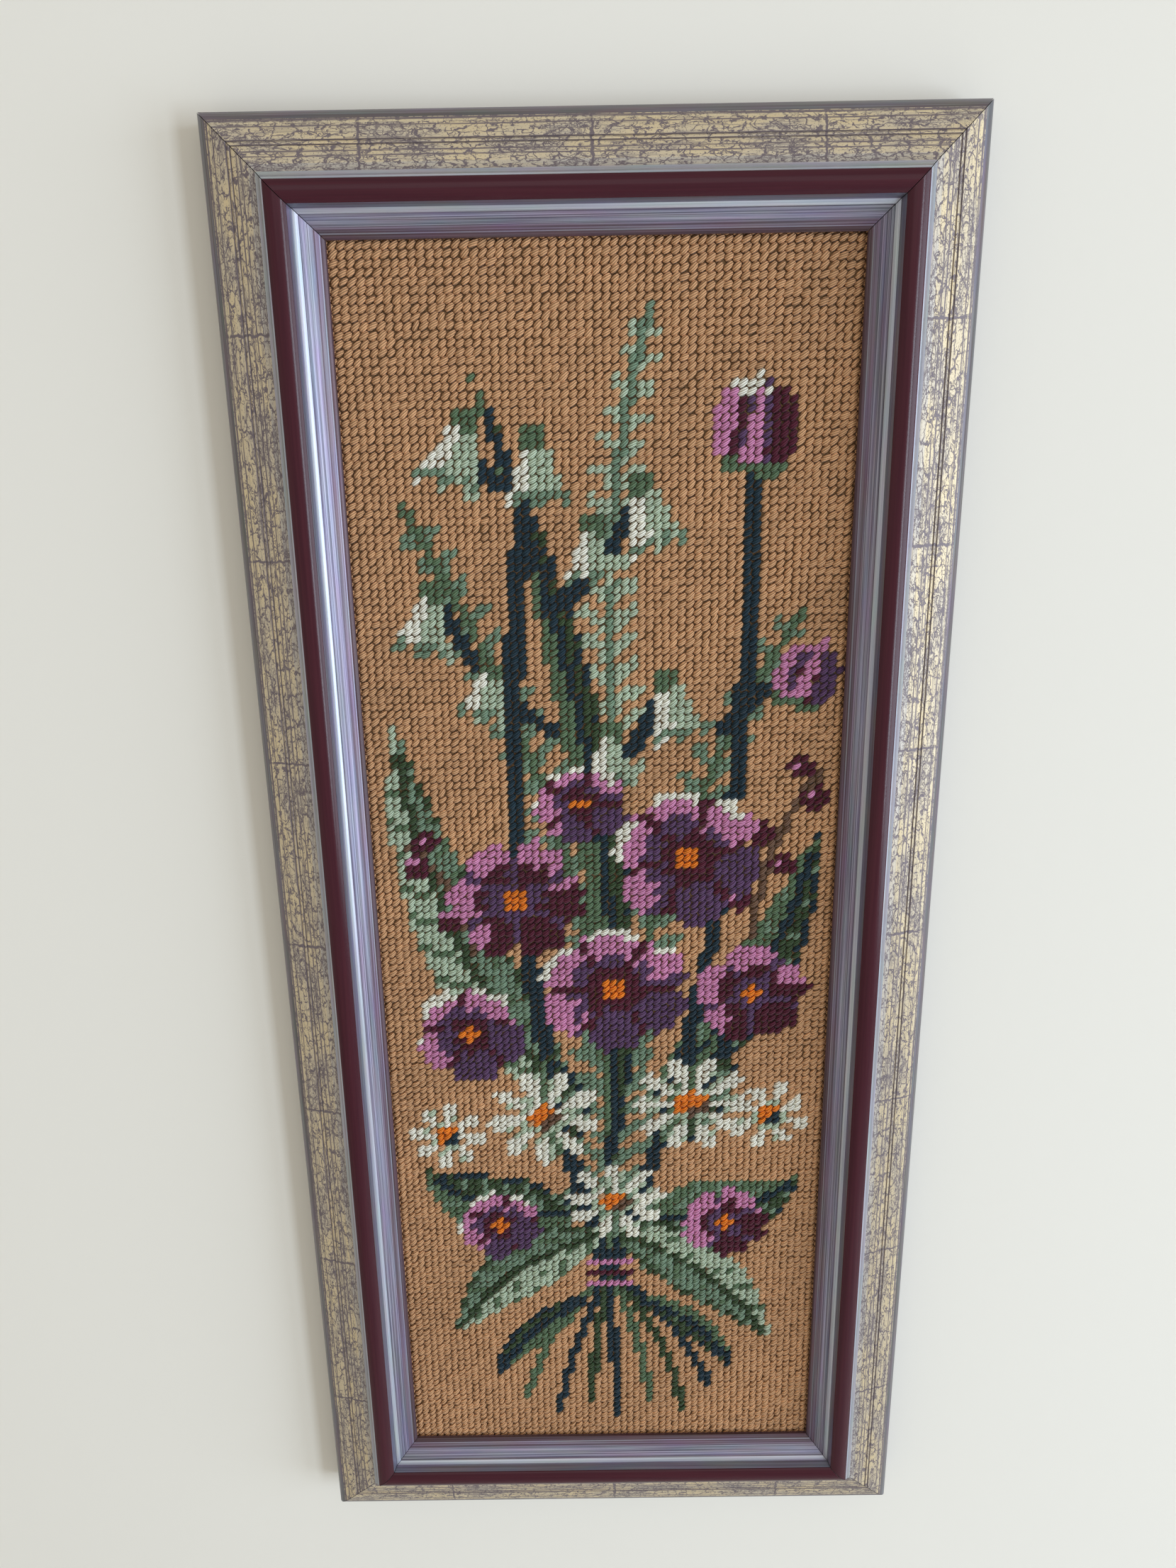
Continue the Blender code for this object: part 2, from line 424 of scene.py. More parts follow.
def ridge_lacquer(settings):
    """Burgundy lacquer, flatted and polished: dark and even, with a soft bright line where a lamp shows."""
    material, add, shader = new_material("burgundy polished lacquer")
    brush = add("TexNoise", {
        "Vector": along_and_across(add, 60, 0.9), "Scale": 1.0, "Detail": 2.0},
        noise_dimensions="2D")
    specks = add("TexNoise", {
        "Vector": along_and_across(add, 0.7, 0.7), "Scale": 1.0, "Detail": 2.0},
        noise_dimensions="2D")
    depth = add("MapRange", {"Value": brush, "From Min": 0.3, "From Max": 0.7})
    lit = add("Mix", {0: depth, 6: settings.lacquer, 7: linear("451825")}, data_type="RGBA")
    gloss = add("MapRange", {"Value": specks, "To Min": 0.14, "To Max": 0.26})
    relief = add("Bump", {"Height": brush, "Distance": 0.02 * MM, "Strength": 0.3})
    feed(shader, {"Base Color": lit, "Roughness": gloss, "Normal": relief, "Specular IOR Level": 0.3})
    return material


def bare_softwood(settings):
    """Planed softwood on the moulding's back: pale, matt, with growth rings about 2.5 mm apart."""
    material, add, shader = new_material("bare softwood")
    rings = add("TexNoise", {
        "Vector": along_and_across(add, 90, 2.5), "Scale": 1.0, "Detail": 4.0, "Distortion": 0.6},
        noise_dimensions="2D")
    share = add("MapRange", {"Value": rings, "From Min": 0.35, "From Max": 0.65})
    grain = add("Mix", {0: share, 6: settings.wood, 7: linear("a57a4a")}, data_type="RGBA")
    relief = add("Bump", {"Height": rings, "Distance": 0.1 * MM, "Strength": 0.5})
    feed(shader, {"Base Color": grain, "Normal": relief, "Roughness": 0.75})
    return material


def moulding_finishes(settings):
    """Each finish of the moulding by its name in the rows, and the wood behind them."""
    paints = {
        finish: brushed_paint(name, getattr(settings, finish), linear(streaks), roughness, metallic, width)
        for finish, name, streaks, roughness, metallic, width in BRUSHED_PAINTS}
    return {
        **paints,
        "leaf": distressed_leaf(settings, "distressed champagne leaf", 0.0),
        "cove": distressed_leaf(settings, "silvery leaf in the cove", 0.45),
        "lacquer": ridge_lacquer(settings),
        "wood": bare_softwood(settings),
    }


def swelled(start, end, swell, steps):
    """Points from start up to, not including, end, on an arc whose middle stands swell off the chord."""
    if not swell:
        return [start.lerp(end, i / steps) for i in range(steps)]
    chord = end - start
    side = Vector((chord.y, -chord.x)).normalized()
    half = chord.length / 2
    radius = (half * half + swell * swell) / (2 * abs(swell))
    middle = start.lerp(end, 0.5) + side * (swell - math.copysign(radius, swell))
    spoke, last_spoke = start - middle, end - middle
    turn = math.atan2(spoke.x * last_spoke.y - spoke.y * last_spoke.x, spoke.dot(last_spoke))
    return [middle + Matrix.Rotation(turn * i / steps, 2) @ spoke for i in range(steps)]


def moulding_section(settings):
    """The moulding's closed section: points of (across, height off the wall), each with its finish."""
    points = [(Vector((MOULDING_WIDTH - BACK_TAPER, 0)), "edge")]
    level = Vector((0, SIGHT_LEVEL))
    rows = [(finish, Vector((across, rise)) * MM, swell * MM, steps)
            for finish, across, rise, swell, steps in FACE_ROWS]
    for (finish, start, swell, steps), (_, end, _, _) in zip(rows, rows[1:]):
        points += [(level + point, finish) for point in swelled(start, end, swell, steps)]
    points.append((level, "bead"))
    underside, rebate = SIGHT_LEVEL - settings.lip_thickness, settings.rebate_width
    for corner in ((0, underside), (rebate, underside), (rebate, 0)):
        points.append((Vector(corner), "wood"))
    return points


def run_at(settings, across):
    """The way over the section, from its back corner to where the face is so many millimetres across."""
    run = 0.0
    points = [point for point, _ in moulding_section(settings)]
    for start, end in zip(points, points[1:]):
        if end.x <= across * MM <= start.x:
            return run + (end - start).length * (start.x - across * MM) / (start.x - end.x)
        run += (end - start).length
    raise ValueError(f"the face has no point {across} mm across")


def saw(mesh, point, normal):
    """Cuts the length off beyond a plane and closes the cut end."""
    everything = mesh.verts[:] + mesh.edges[:] + mesh.faces[:]
    cut = bmesh.ops.bisect_plane(
        mesh, geom=everything, plane_co=point, plane_no=normal, clear_outer=True)
    rim = [item for item in cut["geom_cut"] if isinstance(item, bmesh.types.BMEdge)]
    bmesh.ops.contextual_create(mesh, geom=rim)


def length_of_moulding(settings, order, sight_length, sight_half, quarter_turns):
    """A length of moulding as a bmesh, sawn at both ends, mapped and turned to its side of the opening."""
    section = moulding_section(settings)
    mesh = bmesh.new()
    reach = sight_length / 2 + MOULDING_WIDTH + settings.rebate_width
    ring = [mesh.verts.new((-reach, -point.y, sight_half + point.x)) for point, _ in section]
    end = mesh.faces.new(ring)
    pushed = bmesh.ops.extrude_face_region(mesh, geom=[end])
    far_end = [item for item in pushed["geom"] if isinstance(item, bmesh.types.BMVert)]
    bmesh.ops.translate(mesh, verts=far_end, vec=(2 * reach, 0, 0))
    for side in (-1, 1):
        mitre = Vector((side, 0, -1)).normalized()
        corner = Vector((side * sight_length / 2, 0, sight_half))
        saw(mesh, corner - mitre * settings.mitre_gap / 2, mitre)
    bmesh.ops.recalc_face_normals(mesh, faces=mesh.faces)

    # The nearest stretch of the section gives a face its finish, and the run of the section its place
    corners = [point for point, _ in section]
    strides = [(b - a).length for a, b in zip(corners, corners[1:] + corners[:1])]
    run = [sum(strides[:i]) for i in range(len(strides))]
    uv = mesh.loops.layers.uv.new(MOULDING_MAP)
    for face in mesh.faces:
        face.smooth = True
        sawn = abs(face.normal.x) > 0.1
        middle = face.calc_center_median()
        spot = Vector((middle.z - sight_half, -middle.y))
        nearest = min(range(len(corners)), key=lambda i: (
            (corners[i] + corners[(i + 1) % len(corners)]) / 2 - spot).length)
        finish = "edge" if sawn else section[nearest][1]
        face.material_index = order.index(finish)
        for loop in face.loops:
            place = Vector((loop.vert.co.z - sight_half, -loop.vert.co.y))
            across = place.x + place.y if sawn else run[nearest] + (place - corners[nearest]).length
            loop[uv].uv = (loop.vert.co.x, across)
    turn = Matrix.Rotation(-quarter_turns * math.pi / 2, 4, "Y")
    bmesh.ops.transform(mesh, matrix=turn, verts=mesh.verts)
    bmesh.ops.translate(mesh, verts=mesh.verts, vec=(0, 0, SIGHT_CENTRE_Z))
    return mesh


class TAPESTRY_OT_moulding(bpy.types.Operator):
    """Cut four lengths of the moulding and close them round the opening"""

    bl_idname = "tapestry.moulding"
    bl_label = "Moulded frame"

    def execute(self, context):
        settings = context.scene.tapestry_moulding
        finishes = moulding_finishes(settings)
        order = list(finishes)
        sides = (
            # node,        sight length, half opening,     quarter turns
            ("rail_top",    SIGHT_WIDTH,  SIGHT_HEIGHT / 2, 0),
            ("rail_right",  SIGHT_HEIGHT, SIGHT_WIDTH / 2, -1),
            ("rail_bottom", SIGHT_WIDTH,  SIGHT_HEIGHT / 2, 2),
            ("rail_left",   SIGHT_HEIGHT, SIGHT_WIDTH / 2,  1),
        )
        for node, sight_length, sight_half, quarter_turns in sides:
            mesh = length_of_moulding(settings, order, sight_length, sight_half, quarter_turns)
            name = node.replace("rail", "moulding")
            piece = place_piece(name, as_data(name, mesh, finishes.values()), [node])
            piece.data.set_sharp_from_angle(angle=SHARPEST_SMOOTH_EDGE)
        return {"FINISHED"}


# The stitched design, charted by functions on the grid of stitches

YARNS = {
    "tan": "c8996f",
    "cream": "f6ecd8",
    "pale_sage": "b0c0a8",
    "sage": "738c75",
    "moss": "597154",
    "olive": "33472a",
    "teal": "112c39",
    "mauve": "cb83ad",
    "purple": "583b60",
    "plum": "4f0f28",
    "orange": "ea7a16",
    "brown": "6b4f3d",
}
YARN_ORDER = list(YARNS)


class Chart:
    """A grid of yarn numbers, one for each stitch. Columns run to the right and rows down."""

    def __init__(self, columns, rows, margin, rng):
        across = np.arange(-margin, columns + margin)
        down = np.arange(-margin, rows + margin)
        self.x, self.y = np.meshgrid(across, down)
        self.yarn = np.zeros(self.x.shape, int)
        self.hand = rng.normal(0, 1, self.x.shape)

    def lay(self, mask, yarn):
        self.yarn[mask] = YARN_ORDER.index(yarn)

    def local(self, centre, angle):
        """Grid places as seen from a centre, with the first axis turned to an angle."""
        dx, dy = self.x - centre[0], self.y - centre[1]
        c, s = math.cos(angle), math.sin(angle)
        return dx * c + dy * s, dy * c - dx * s

    def around(self, centre, squash):
        """Grid places round a centre as distance and angle, with the height pressed by a share."""
        dx, dy = self.x - centre[0], (self.y - centre[1]) / squash
        return np.hypot(dx, dy), np.arctan2(dy, dx)

    def beside(self, points):
        """How far along a line of points each stitch lies, from 0 to 1, and how far to its side."""
        path = np.array(points)
        gaps = np.stack([self.x[..., None] - path[:, 0], self.y[..., None] - path[:, 1]], -1)
        nearest = np.argmin((gaps ** 2).sum(-1), -1)
        way = np.gradient(path, axis=0)[nearest]
        gap = np.take_along_axis(gaps, nearest[..., None, None], 2)[..., 0, :]
        side = way[..., 0] * gap[..., 1] - way[..., 1] * gap[..., 0]
        distance = np.hypot(gap[..., 0], gap[..., 1])
        return nearest / (len(path) - 1), np.copysign(distance, side)


def bend_line(start, end, bend):
    """Points, two to a stitch, from start to end along a bow whose middle stands bend stitches aside."""
    count = 2 * math.ceil(math.dist(start, end)) + 8
    start, end = np.array(start, float), np.array(end, float)
    along = end - start
    side = np.array([-along[1], along[0]]) / max(np.hypot(*along), 1e-6)
    t = np.linspace(0, 1, count)[:, None]
    return start + along * t + side * bend * 4 * t * (1 - t)


def stem(chart, start, end, bend, yarn, width=1.9):
    """A line of stitches that follows a bow, one stitch wide at 1 and two wide at 2."""
    _, side = chart.beside(bend_line(start, end, bend))
    chart.lay(np.abs(side) < width / 2 + 0.05, yarn)


def leaf(chart, start, end, bend, width, tones, veins=0.0):
    """A pointed leaf with a dark rib, a lit side, a shaded side and side veins a few stitches apart."""
    lit, shaded, rib, vein = tones
    t, side = chart.beside(bend_line(start, end, bend))
    half = width / 2 * np.sin(np.pi * np.clip(t, 0, 1) ** 0.8) ** 0.85
    inside = (np.abs(side) < half) & (t > 0) & (t < 1)
    chart.lay(inside & (side + 0.25 * chart.hand <= 0), lit)
    chart.lay(inside & (side + 0.25 * chart.hand > 0), shaded)
    if veins:
        length = math.dist(start, end)
        ticks = (t * length - np.abs(side) * 0.9) % veins
        chart.lay(inside & (ticks < 1.1) & (np.abs(side) > 1.0), vein)
    chart.lay(inside & (np.abs(side) < 0.62) & (t < 0.93), rib)
    chart.lay(inside & (half - np.abs(side) < 0.9) & (side > 0) & (chart.hand > -0.4), rib)


def fern(chart, start, end, bend, reach, yarn, rib, every=4.0):
    """A frond: a fine curved rib with short slanting leaflets on both sides that shorten to the tip."""
    path = bend_line(start, end, bend)
    length = math.dist(start, end)
    for i in range(int(length / every)):
        share = (i + 0.6) * every / length
        spot = min(int(share * (len(path) - 1)), len(path) - 2)
        at = path[spot]
        way = path[spot + 1] - at
        angle = math.atan2(way[1], way[0])
        spread = reach * (1 - share) ** 0.6 + 1.2
        for side in (-1, 1):
            tip = at + spread * np.array([math.cos(angle + side * 0.85), math.sin(angle + side * 0.85)])
            stem(chart, at, tip, side * -0.35, yarn, 1.5)
    stem(chart, start, end, bend, rib, 1.1)


def open_flower(chart, centre, radius, petals, turn, tones, squash=1.0):
    """A round flower seen from the front, with notched petals: deep at the heart, pale at the lit rim."""
    rim, light, body, deep = tones
    r, angle = chart.around(centre, squash)
    lobe = np.abs(np.cos(petals / 2 * (angle - turn)))
    reach = radius * (0.70 + 0.30 * lobe ** 0.5) - 0.5 * np.exp(-((1 - lobe) * 14) ** 2)
    inside = r + 0.22 * chart.hand < reach
    share = r / np.maximum(reach, 0.1)
    chart.lay(inside, body)
    lit = np.cos(angle + 2.2) > -0.35
    chart.lay(inside & (share + 0.06 * chart.hand > 0.60) & lit, light)
    chart.lay(inside & (share > 0.84) & (np.cos(angle + 2.0) > 0.25) & (lobe > 0.45), rim)
    chart.lay(inside & (lobe < 0.24) & (share > 0.30), deep)
    chart.lay(inside & (share + 0.05 * chart.hand < 0.36), deep)
    chart.lay(r < max(radius * 0.17, 1.1), "orange")


def daisy(chart, centre, radius, rays, turn, heart, squash=1.0):
    """A daisy: narrow rays that stand apart at their tips, shaded between, with a disc at the heart."""
    r, angle = chart.around(centre, squash)
    lobe = np.cos(rays * (angle - turn))
    inside = (r < radius * (0.88 + 0.14 * lobe)) & (lobe > -0.95 + 0.95 * (r / radius) ** 2)
    chart.lay(inside, "cream")
    chart.lay(inside & (lobe < -0.15 + 0.25 * chart.hand) & (r > radius * 0.3), "pale_sage")
    chart.lay(inside & (r < radius * 0.42) & (chart.y > centre[1]), "pale_sage")
    chart.lay(r < radius * 0.27, "orange")
    chart.lay((r < radius * 0.27) & (r * (np.cos(angle) + np.sin(angle)) > radius * 0.12), heart)


def bell(chart, top, length, angle):
    """A hanging bell that flares to a scalloped mouth, lit on one side, with its green cap."""
    down, side = chart.local(top, angle)
    t = down / length
    half = length * (0.20 + 0.32 * np.clip(t, 0, 1) ** 1.6)
    mouth = 1.0 + 0.10 * np.cos(side / half * 2.6 * math.pi)
    inside = (t > 0.0) & (t < mouth) & (np.abs(side) < half)
    chart.lay(inside, "pale_sage")
    chart.lay(inside & (side > half * 0.15), "cream")
    chart.lay(inside & (t > 0.82) & (chart.hand > -0.5), "sage")
    chart.lay((t > -0.16) & (t < 0.14) & (np.abs(side) < half * 0.9), "moss")


def tulip(chart, base, length, angle, tones):
    """A closed cup of three petals on its stem, the middle one in front."""
    rim, light, body, deep = tones
    up, side = chart.local(base, angle)
    t = up / length
    half = length * 0.40 * np.sin(np.pi * np.clip(t * 0.80 + 0.14, 0, 1)) ** 0.7
    points = 1.0 - 0.16 * np.abs(np.sin(side / length * 3.4 * math.pi))
    inside = (t > 0) & (t < points) & (np.abs(side) < half)
    chart.lay(inside, body)
    chart.lay(inside & (side < -half * 0.38), light)
    chart.lay(inside & (side > half * 0.45), deep)
    front = np.abs(side) < half * 0.30 * (1.25 - t)
    chart.lay(inside & front & (t < 0.82), light)
    chart.lay(inside & (np.abs(np.abs(side) - half * 0.42) < 0.5) & (t > 0.2), deep)
    chart.lay(inside & (t > points - 0.13) & (side < half * 0.2), rim)
    chart.lay(inside & (t < 0.14), "moss")


def berries(chart, start, end, bend, count):
    """A twig with a round berry at the end of each short stalk, each with one lit stitch."""
    path = bend_line(start, end, bend)
    stem(chart, start, end, bend, "brown", 1.1)
    for i in range(count):
        at = path[int((len(path) - 1) * (i + 1) / count)]
        side = 1 if i % 2 else -1
        spot = at + np.array([side * 2.4, -0.8])
        stem(chart, at, spot, 0.0, "brown", 1.0)
        dx, dy = chart.x - spot[0], chart.y - spot[1]
        chart.lay(np.hypot(dx, dy) < 1.75, "plum")
        chart.lay((np.abs(dx + 0.5) < 0.6) & (np.abs(dy + 0.5) < 0.6), "mauve")


def bouquet(chart):
    """A bouquet of the embroiderer's common flowers, from the back of the bunch to its front."""
    leaf_dark = ("moss", "olive", "teal", "sage")
    leaf_grey = ("pale_sage", "sage", "olive", "moss")
    purple = ("cream", "mauve", "purple", "plum")
    plum = ("mauve", "mauve", "plum", "purple")
    tie = (30, 147)

    fern(chart, tie, (6, 30), 9, 6.5, "sage", "moss")
    fern(chart, tie, (55, 44), -8, 6.0, "sage", "moss")
    fern(chart, (32, 70), (36, 7), -3, 4.0, "pale_sage", "sage", 3.6)
    leaf(chart, (27, 120), (3, 58), -5, 11, leaf_grey, 5.0)
    leaf(chart, (36, 116), (58, 74), 4, 9, leaf_dark, 5.0)
    leaf(chart, (30, 130), (14, 12), 7, 6, leaf_dark)

    stem(chart, tie, (22, 22), -7, "teal", 2.3)
    stem(chart, (24, 60), (9, 40), -2, "teal")
    stem(chart, (23, 44), (35, 27), 2, "teal")
    stem(chart, (22, 30), (13, 19), -2, "teal")
    stem(chart, (25, 72), (38, 52), 2, "teal")
    for top, length, angle in (
            ((9, 41), 8, 1.75), ((14, 20), 8, 1.9), ((22, 22), 8, 1.5), ((35, 28), 8, 1.3),
            ((29, 33), 7, 1.6), ((16, 51), 7, 1.8), ((38, 53), 8, 1.3), ((31, 60), 7, 1.6)):
        bell(chart, top, length, angle)

    stem(chart, tie, (48, 24), 6, "teal", 2.0)
    stem(chart, (45, 60), (56, 52), -1, "teal")
    tulip(chart, (48, 27), 13, -1.45, purple)
    tulip(chart, (54, 57), 10, -1.15, plum)
    berries(chart, (12, 92), (4, 76), 2, 4)
    berries(chart, (50, 90), (58, 66), -2, 5)

    leaf(chart, (26, 136), (3, 128), -3, 12, leaf_dark, 4.0)
    leaf(chart, (34, 136), (58, 130), 3, 12, leaf_dark, 4.0)
    leaf(chart, (29, 140), (7, 158), 3, 10, leaf_grey, 4.5)
    leaf(chart, (31, 140), (54, 160), -3, 10, leaf_grey, 4.5)
    leaf(chart, (24, 126), (22, 108), 0, 8, leaf_dark, 4.0)
    leaf(chart, (38, 124), (46, 104), 2, 8, leaf_dark, 4.0)

    open_flower(chart, (41, 78), 10.5, 6, 0.3, purple)
    open_flower(chart, (18, 84), 9.5, 6, 0.0, plum)
    open_flower(chart, (31, 98), 11.0, 6, 0.5, purple, 0.92)
    open_flower(chart, (50, 99), 8.0, 5, 0.9, plum)
    open_flower(chart, (11, 105), 8.0, 5, 0.2, purple)
    open_flower(chart, (27, 70), 6.5, 5, 0.6, purple, 0.9)

    daisy(chart, (21, 119), 8.0, 9, 0.2, "brown")
    daisy(chart, (42, 117), 8.5, 10, 0.0, "brown", 0.95)
    daisy(chart, (31, 134), 7.5, 9, 0.5, "brown", 0.9)
    daisy(chart, (53, 119), 5.5, 8, 0.3, "teal")
    daisy(chart, (7, 122), 5.5, 8, 0.1, "teal")
    open_flower(chart, (14, 138), 6.5, 5, 0.5, purple)
    open_flower(chart, (47, 138), 6.5, 5, 0.1, plum)

    for end, bend, yarn in (
            ((17, 171), 2, "moss"), ((22, 174), 1, "teal"), ((27, 172), 0.5, "olive"),
            ((31, 175), 0, "teal"), ((36, 172), -1, "moss"), ((41, 174), -2, "olive"),
            ((45, 169), -2, "teal")):
        stem(chart, tie, end, bend, yarn, 1.2)
    leaf(chart, (27, 152), (12, 168), 2, 5, leaf_dark)
    leaf(chart, (34, 152), (49, 166), -2, 5, leaf_dark)
    for row, yarn in ((145, "mauve"), (147, "plum"), (149, "mauve")):
        chart.lay((np.abs(chart.y - row) < 1) & (np.abs(chart.x - 30) < 3.6), yarn)


def wool(name, hex_colour, yarn_height):
    """Four-ply tapestry wool: matt, soft-lit at the edges, its plies twisted along the stitch.

    Each ply shows as a ridge about 0.65 mm wide that slopes gently across the stitch, and the fibres as a
    finer grain along it. The colour carries painted shade in the grooves between the plies, a painted
    highlight on their crowns, and painted shade that darkens the wool towards the holes of the canvas.
    Shades differ a little from stitch to stitch, as hand-dyed yarn does.
    """
    material, add, shader = new_material(name)
    yarn = add("Attribute", attribute_name="yarn")
    tone = add("Attribute", attribute_name="tone")
    lay = add("Mapping", {"Vector": yarn.outputs["Vector"], "Rotation": (0, 0, math.radians(12))})
    plies = add("TexWave", {
        "Vector": lay, "Scale": 0.31 / (0.66 * MM), "Distortion": 1.0, "Detail": 1.0, "Detail Scale": 1.5},
        wave_type="BANDS", bands_direction="Y", wave_profile="SIN")
    stretched = add("Mapping", {"Vector": lay, "Scale": (1 / (1.8 * MM), 1 / (0.26 * MM), 1.0)})
    fibres = add("TexNoise", {
        "Vector": stretched, "Scale": 1.0, "Detail": 3.0, "Roughness": 0.7}, noise_dimensions="3D")
    height = add("Math", {0: fibres, 1: 0.5, 2: plies}, operation="MULTIPLY_ADD")
    base = linear(hex_colour)
    # Painted shade in the grooves between the plies and a painted highlight on their crowns
    dark = tuple(c * 0.44 for c in base)
    light = tuple(min(c * 1.28 + 0.003, 1.0) for c in base)
    ply_shade_and_highlight = add("MapRange", {"Value": height, "From Min": 0.15, "From Max": 1.05})
    shaded = add("Mix", {0: ply_shade_and_highlight, 6: dark, 7: light}, data_type="RGBA")
    # Painted shade in the pits: from the crown of the stitch, 0, to deep in the pit, 1
    place = add("SeparateXYZ", {0: yarn.outputs["Vector"]})
    pit_shade_share = add("MapRange", {
        "Value": place.outputs["Z"], "From Min": 0.06 * yarn_height, "From Max": -0.30 * yarn_height},
        interpolation_type="SMOOTHSTEP")
    painted_pit_shade = add("Mix", {
        0: pit_shade_share, 6: shaded, 7: (base[0] * 0.32, base[1] * 0.20, base[2] * 0.16)}, data_type="RGBA")
    toned = add("HueSaturation", {"Color": painted_pit_shade, "Value": tone.outputs["Fac"]})
    relief = add("Bump", {"Height": height, "Distance": 0.28 * MM, "Strength": 0.9})
    feed(shader, {
        "Base Color": toned, "Normal": relief, "Roughness": 0.7, "Sheen Weight": 0.12,
        "Sheen Roughness": 0.45, "Specular IOR Level": 0.25})
    return material


def ecru_canvas(settings):
    """Stiff woven canvas: one thread each way at every stitch, so it reads as a small square grid."""
    material, add, shader = new_material("woven ecru canvas")
    spot = add("TexCoord")
    ways = add("SeparateXYZ", {0: spot.outputs["Object"]})
    threads = []
    for way, pitch in (("X", SIGHT_WIDTH / settings.columns), ("Z", SIGHT_HEIGHT / settings.rows)):
        place = add("Math", {0: ways.outputs[way], 1: math.pi / pitch}, operation="MULTIPLY")
        wave = add("Math", {0: place}, operation="SINE")
        threads.append(add("Math", {0: wave}, operation="ABSOLUTE"))
    weave = add("Math", {0: threads[0], 1: threads[1]}, operation="MAXIMUM")
    dark = tuple(c * 0.3 for c in settings.canvas)
    grid = add("Mix", {0: weave, 6: dark, 7: settings.canvas}, data_type="RGBA")
    relief = add("Bump", {"Height": weave, "Distance": 0.3 * MM})
    feed(shader, {"Base Color": grid, "Normal": relief, "Roughness": 0.9})
    return material


# The map that the wool brings with it, one cell for each stitch, and the free margin round a cell
STITCH_MAP = "OFBake"
CELL_MARGIN = 0.05

# How far a stitch's ends bow down, and how far it tips, as shares of half its height
BOW = 0.60
TIP = 0.10

# A piece keeps to this many stitches, so that it stays under 200,000 triangles
MOST_STITCHES = 2900


def grain_of_yarn():
    """One stitch as a small closed grain: its vertices, its faces as loops of them, and its map's corners.

    The grain lies along X, from -1 to 1, with Y across it and Z off the canvas. It is blunt, so that its
    neighbours touch, and its ends bow down into the holes of the canvas.
    """
    mesh = bmesh.new()
    uv = mesh.loops.layers.uv.new("grain")
    bmesh.ops.create_uvsphere(mesh, u_segments=8, v_segments=5, radius=1.0, calc_uvs=True)
    bmesh.ops.rotate(mesh, verts=mesh.verts, matrix=Matrix.Rotation(math.pi / 2, 3, "Y"))
    for vert in mesh.verts:
        blunt = math.copysign(abs(vert.co.x) ** 0.9, vert.co.x)
        # Fuller than a ball towards the ends, up to a limit
        full = (1 - abs(vert.co.x) ** 3.2) ** 0.5 / max((1 - vert.co.x ** 2) ** 0.5, 0.05)
        full = min(full, 1.45)
        vert.co = (blunt, vert.co.y * full, vert.co.z * full)
    bmesh.ops.recalc_face_normals(mesh, faces=mesh.faces)
    mesh.verts.index_update()
    verts = np.array([vert.co[:] for vert in mesh.verts])
    faces = [[vert.index for vert in face.verts] for face in mesh.faces]
    cell = np.array([loop[uv].uv[:] for face in mesh.faces for loop in face.loops])
    mesh.free()
    return verts, faces, (cell - cell.min(0)) / np.ptp(cell, 0)


def stitch_places(settings, chart, rng):
    """Middle, slant, sizes and tone of every stitch, with the slow drift and small slips of the hand."""
    pitch_x, pitch_z = SIGHT_WIDTH / settings.columns, SIGHT_HEIGHT / settings.rows
    x = (chart.x + 0.5) * pitch_x - SIGHT_WIDTH / 2
    z = SIGHT_CENTRE_Z + SIGHT_HEIGHT / 2 - (chart.y + 0.5) * pitch_z
    drift = sum(
        np.sin(chart.x * a + chart.y * b + c) for a, b, c in rng.uniform(0.05, 0.35, (4, 3)) * (1, 1, 18))
    uneven = settings.unevenness
    shape = chart.x.shape
    return {
        "x": x + 0.05 * MM * drift + rng.normal(0, uneven * 0.9, shape) * MM,
        "z": z + 0.04 * MM * drift[::-1] + rng.normal(0, uneven * 0.8, shape) * MM,
        "slant": settings.slant + rng.normal(0, uneven, shape) + 0.02 * drift,
        "long": 1.0 + rng.normal(0, uneven * 0.6, shape),
        "wide": 1.0 + rng.normal(0, uneven * 0.8, shape),
        "high": 1.0 + rng.normal(0, uneven * 1.1, shape) + 0.015 * drift,
        "tip": rng.normal(0, uneven * 1.6, shape),
        "tone": 1.0 + rng.normal(0, 0.045, shape) + 0.02 * drift,
        "twist": rng.uniform(0, 1, shape),
    }


